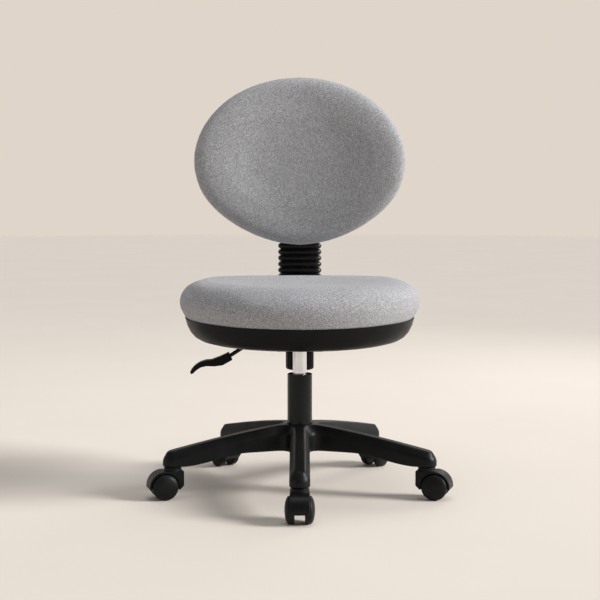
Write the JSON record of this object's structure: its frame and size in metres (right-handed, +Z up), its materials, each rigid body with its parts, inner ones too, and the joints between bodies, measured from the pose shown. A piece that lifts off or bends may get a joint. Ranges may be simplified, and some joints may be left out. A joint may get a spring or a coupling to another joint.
{
  "type": "swivel task chair",
  "caption": "Armless swivel chair with an oval backrest, dished round seat, gas lift and a five-arm base on twin-wheel casters.",
  "frame": {"origin": "on the floor, under the middle of the column and of the base", "axes": "+Z up, -Y towards the front of the seat, +X to the right of someone facing the chair"},
  "size_m": [0.606, 0.6246, 0.84],
  "materials": {
    "black_nylon": "satin",
    "wheel_nylon": "matte",
    "zinc_steel": "satin",
    "black_steel": "satin",
    "bush_plastic": "matte",
    "polished_steel": "polished",
    "plywood": "matte",
    "foam": "matte",
    "grey_fabric": "matte",
    "shell_plastic": "matte",
    "bellows_rubber": "satin"
  },
  "bodies": {
    "base": {"base_star": "black_nylon", "hub_ring": "zinc_steel", "column_tube": "black_steel", "column_bush": "bush_plastic"},
    "column_rod": {"thrust_bearing": "zinc_steel", "piston_rod": "polished_steel", "retaining_clip": "zinc_steel"},
    "seat": {"gas_cylinder": "polished_steel", "taper_socket": "black_steel", "mechanism_plate": "black_steel", "bar_guide": "bush_plastic", "lever_pivot": "zinc_steel", "plate_bolts": "zinc_steel", "seat_nuts": "zinc_steel", "seat_board": "plywood", "seat_foam": "foam", "seat_upholstery": "grey_fabric", "seat_pan": "shell_plastic", "pan_screws": "zinc_steel"},
    "lever": {"lever_rod": "black_steel", "lever_grip": "shell_plastic"},
    "button": {"release_button": "zinc_steel"},
    "depth_clamp": {"depth_knob": "shell_plastic"},
    "back_arm": {"back_bar": "black_steel", "bar_end_cap": "bush_plastic", "bellows": "bellows_rubber"},
    "backrest": {"height_bracket": "black_steel", "back_board": "plywood", "back_foam": "foam", "back_upholstery": "grey_fabric", "back_cover": "shell_plastic", "back_screws": "zinc_steel"},
    "height_clamp": {"height_knob": "shell_plastic"},
    "caster_1": {"caster_stem_1": "zinc_steel", "caster_hood_1": "black_nylon", "caster_axle_1": "zinc_steel"},
    "left_wheel_1": {"wheel_left_1": "wheel_nylon"},
    "right_wheel_1": {"wheel_right_1": "wheel_nylon"},
    "caster_2": {"caster_stem_2": "zinc_steel", "caster_hood_2": "black_nylon", "caster_axle_2": "zinc_steel"},
    "left_wheel_2": {"wheel_left_2": "wheel_nylon"},
    "right_wheel_2": {"wheel_right_2": "wheel_nylon"},
    "caster_3": {"caster_stem_3": "zinc_steel", "caster_hood_3": "black_nylon", "caster_axle_3": "zinc_steel"},
    "left_wheel_3": {"wheel_left_3": "wheel_nylon"},
    "right_wheel_3": {"wheel_right_3": "wheel_nylon"},
    "caster_4": {"caster_stem_4": "zinc_steel", "caster_hood_4": "black_nylon", "caster_axle_4": "zinc_steel"},
    "left_wheel_4": {"wheel_left_4": "wheel_nylon"},
    "right_wheel_4": {"wheel_right_4": "wheel_nylon"},
    "caster_5": {"caster_stem_5": "zinc_steel", "caster_hood_5": "black_nylon", "caster_axle_5": "zinc_steel"},
    "left_wheel_5": {"wheel_left_5": "wheel_nylon"},
    "right_wheel_5": {"wheel_right_5": "wheel_nylon"}
  },
  "joints": [
    {"name": "seat_swivel", "type": "hinge", "parent": "base", "child": "column_rod", "pos_m": [0, 0, 0.07], "axis": [0, 0, 1], "continuous": true},
    {"name": "seat_lift", "type": "slide", "parent": "column_rod", "child": "seat", "axis": [0, 0, 1], "range_m": [0, 0.1]},
    {"name": "height_lever", "type": "hinge", "parent": "seat", "child": "lever", "pos_m": [-0.028, 0, 0.3335], "axis": [0, 1, 0], "range_deg": [0, 6], "stiffness_Nm_per_rad": 1.2, "springref_deg": -5.73},
    {"name": "button_press", "type": "slide", "parent": "seat", "child": "button", "axis": [0, 0, 1], "range_m": [-0.0032, 0], "stiffness_N_per_m": 400},
    {"name": "back_depth", "type": "slide", "parent": "seat", "child": "back_arm", "axis": [0, 1, 0], "range_m": [-0.01, 0.02]},
    {"name": "depth_clamp_turn", "type": "hinge", "parent": "seat", "child": "depth_clamp", "pos_m": [0, 0.066, 0.25], "axis": [0, 0, 1], "range_deg": [0, 360]},
    {"name": "back_height", "type": "slide", "parent": "back_arm", "child": "backrest", "axis": [0, 0, 1], "range_m": [-0.02, 0.04], "deforming": ["bellows"]},
    {"name": "height_clamp_turn", "type": "hinge", "parent": "backrest", "child": "height_clamp", "pos_m": [0, 0.29, 0.6], "axis": [0, 1, 0], "range_deg": [0, 360]},
    {"name": "caster_swivel_1", "type": "hinge", "parent": "base", "child": "caster_1", "pos_m": [0, -0.263, 0.064], "axis": [0, 0, 1], "continuous": true},
    {"name": "left_wheel_roll_1", "type": "hinge", "parent": "caster_1", "child": "left_wheel_1", "pos_m": [0, -0.2816, 0.0255], "axis": [1, 0, 0], "continuous": true},
    {"name": "right_wheel_roll_1", "type": "hinge", "parent": "caster_1", "child": "right_wheel_1", "pos_m": [0, -0.2816, 0.0255], "axis": [1, 0, 0], "continuous": true},
    {"name": "caster_swivel_2", "type": "hinge", "parent": "base", "child": "caster_2", "pos_m": [0.25013, -0.08127, 0.064], "axis": [0, 0, 1], "continuous": true},
    {"name": "left_wheel_roll_2", "type": "hinge", "parent": "caster_2", "child": "left_wheel_2", "pos_m": [0.26782, -0.08702, 0.0255], "axis": [0.309, 0.9511, 0], "continuous": true},
    {"name": "right_wheel_roll_2", "type": "hinge", "parent": "caster_2", "child": "right_wheel_2", "pos_m": [0.26782, -0.08702, 0.0255], "axis": [0.309, 0.9511, 0], "continuous": true},
    {"name": "caster_swivel_3", "type": "hinge", "parent": "base", "child": "caster_3", "pos_m": [0.15459, 0.21277, 0.064], "axis": [0, 0, 1], "continuous": true},
    {"name": "left_wheel_roll_3", "type": "hinge", "parent": "caster_3", "child": "left_wheel_3", "pos_m": [0.16552, 0.22782, 0.0255], "axis": [-0.809, 0.5878, 0], "continuous": true},
    {"name": "right_wheel_roll_3", "type": "hinge", "parent": "caster_3", "child": "right_wheel_3", "pos_m": [0.16552, 0.22782, 0.0255], "axis": [-0.809, 0.5878, 0], "continuous": true},
    {"name": "caster_swivel_4", "type": "hinge", "parent": "base", "child": "caster_4", "pos_m": [-0.15459, 0.21277, 0.064], "axis": [0, 0, 1], "continuous": true},
    {"name": "left_wheel_roll_4", "type": "hinge", "parent": "caster_4", "child": "left_wheel_4", "pos_m": [-0.16552, 0.22782, 0.0255], "axis": [-0.809, -0.5878, 0], "continuous": true},
    {"name": "right_wheel_roll_4", "type": "hinge", "parent": "caster_4", "child": "right_wheel_4", "pos_m": [-0.16552, 0.22782, 0.0255], "axis": [-0.809, -0.5878, 0], "continuous": true},
    {"name": "caster_swivel_5", "type": "hinge", "parent": "base", "child": "caster_5", "pos_m": [-0.25013, -0.08127, 0.064], "axis": [0, 0, 1], "continuous": true},
    {"name": "left_wheel_roll_5", "type": "hinge", "parent": "caster_5", "child": "left_wheel_5", "pos_m": [-0.26782, -0.08702, 0.0255], "axis": [0.309, -0.9511, 0], "continuous": true},
    {"name": "right_wheel_roll_5", "type": "hinge", "parent": "caster_5", "child": "right_wheel_5", "pos_m": [-0.26782, -0.08702, 0.0255], "axis": [0.309, -0.9511, 0], "continuous": true}
  ],
  "couplings": [
    {"joint": "button_press", "follows": "height_lever", "m_per_rad": -0.029}
  ]
}
